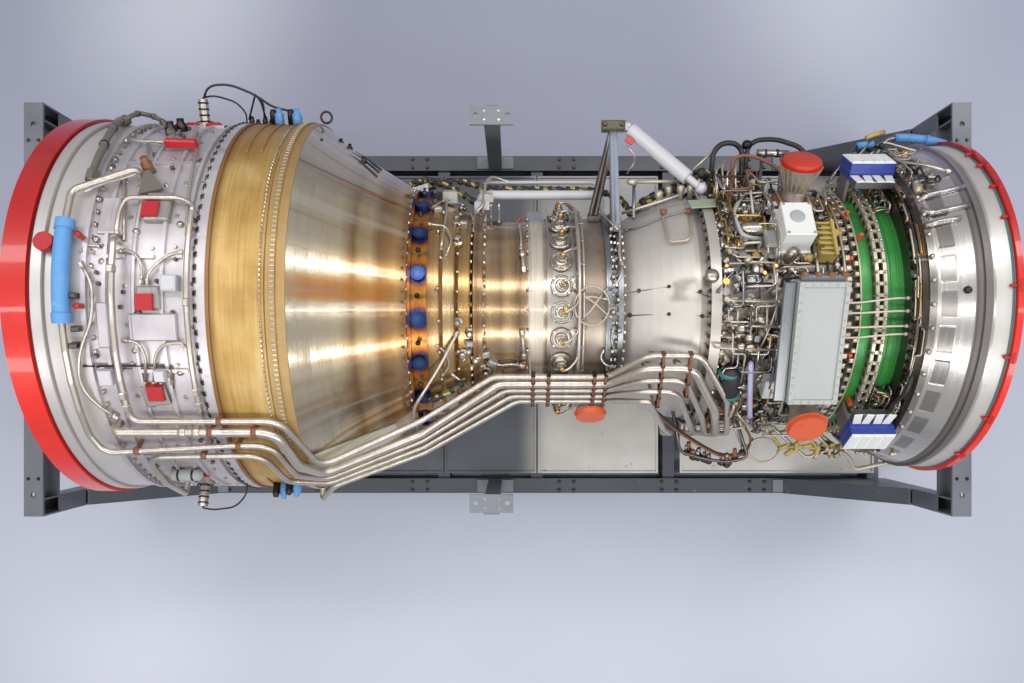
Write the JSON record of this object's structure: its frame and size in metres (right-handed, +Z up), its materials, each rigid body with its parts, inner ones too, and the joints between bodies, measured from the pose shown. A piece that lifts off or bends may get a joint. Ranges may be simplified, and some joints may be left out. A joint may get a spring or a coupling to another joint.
{
  "type": "gas turbine on a steel stand",
  "caption": "Aeroderivative gas turbine lying level on a welded steel stand, with an open intake, a narrow waist ringed by fuel nozzles and a wide exhaust drum.",
  "frame": {"origin": "On the floor below the middle of the stand.", "axes": "+X runs along the shaft line from the wide exhaust end to the intake end, +Y points to the far side of the stand, +Z up."},
  "size_m": [5.26, 2.3, 2.33],
  "materials": {
    "stand_steel": "satin dark grey paint",
    "plate_steel": "satin mid grey paint",
    "tray_sheet": "dull sheet",
    "red_paint": "gloss red paint",
    "casing_steel": "brushed",
    "blade_metal": "satin",
    "drum_steel": "dull white metal",
    "gold_coat": "matte ochre coating",
    "tinted_steel": "heat tinted",
    "amber_steel": "heat tinted",
    "satin_casing": "satin",
    "green_paint": "gloss green paint",
    "lever_metal": "satin",
    "dark_flange": "dark satin",
    "polished_casing": "polished",
    "cast_housing": "as cast",
    "box_sheet": "light grey paint",
    "red_caps": "moulded plastic",
    "white_paint": "satin white paint",
    "blue_sleeve": "smooth sleeve",
    "pipe_steel": "drawn tube"
  },
  "bodies": {
    "root": {"side_rail_near": "stand_steel", "side_rail_far": "stand_steel", "post_exhaust_near": "stand_steel", "post_exhaust_far": "stand_steel", "post_intake_near": "stand_steel", "post_intake_far": "stand_steel", "end_beam_exhaust": "plate_steel", "end_beam_intake": "plate_steel", "cross_members": "stand_steel", "floor_trays": "tray_sheet", "side_pad_near": "plate_steel", "side_pad_far": "plate_steel", "exhaust_cradle": "stand_steel", "intake_cradle": "stand_steel", "exhaust_ring": "red_paint", "exhaust_casing": "casing_steel", "exhaust_vanes": "blade_metal", "tail_cone": "blade_metal", "drum_casing": "drum_steel", "gold_band": "gold_coat", "hot_cone": "tinted_steel", "boss_ring": "tinted_steel", "turbine_casing": "tinted_steel", "waist_casing": "amber_steel", "fuel_nozzles": "pipe_steel", "combustor_casing": "amber_steel", "middle_flange": "casing_steel", "compressor_casing": "satin_casing", "accessory_casing": "casing_steel", "vane_casing": "green_paint", "unison_rings": "lever_metal", "intake_flange": "dark_flange", "intake_casing": "polished_casing", "intake_vanes": "blade_metal", "nose_cone": "polished_casing", "intake_ring": "red_paint", "gearbox": "cast_housing", "control_box": "box_sheet", "valve_blocks": "box_sheet", "blanking_caps": "red_caps", "sensor_stubs": "pipe_steel", "mount_bracket": "plate_steel", "mount_strut": "white_paint", "hose_sleeve": "blue_sleeve", "drum_pipes": "pipe_steel", "drum_tube": "pipe_steel", "pipe_bundle": "pipe_steel", "bleed_pipes": "pipe_steel"}
  },
  "joints": []
}
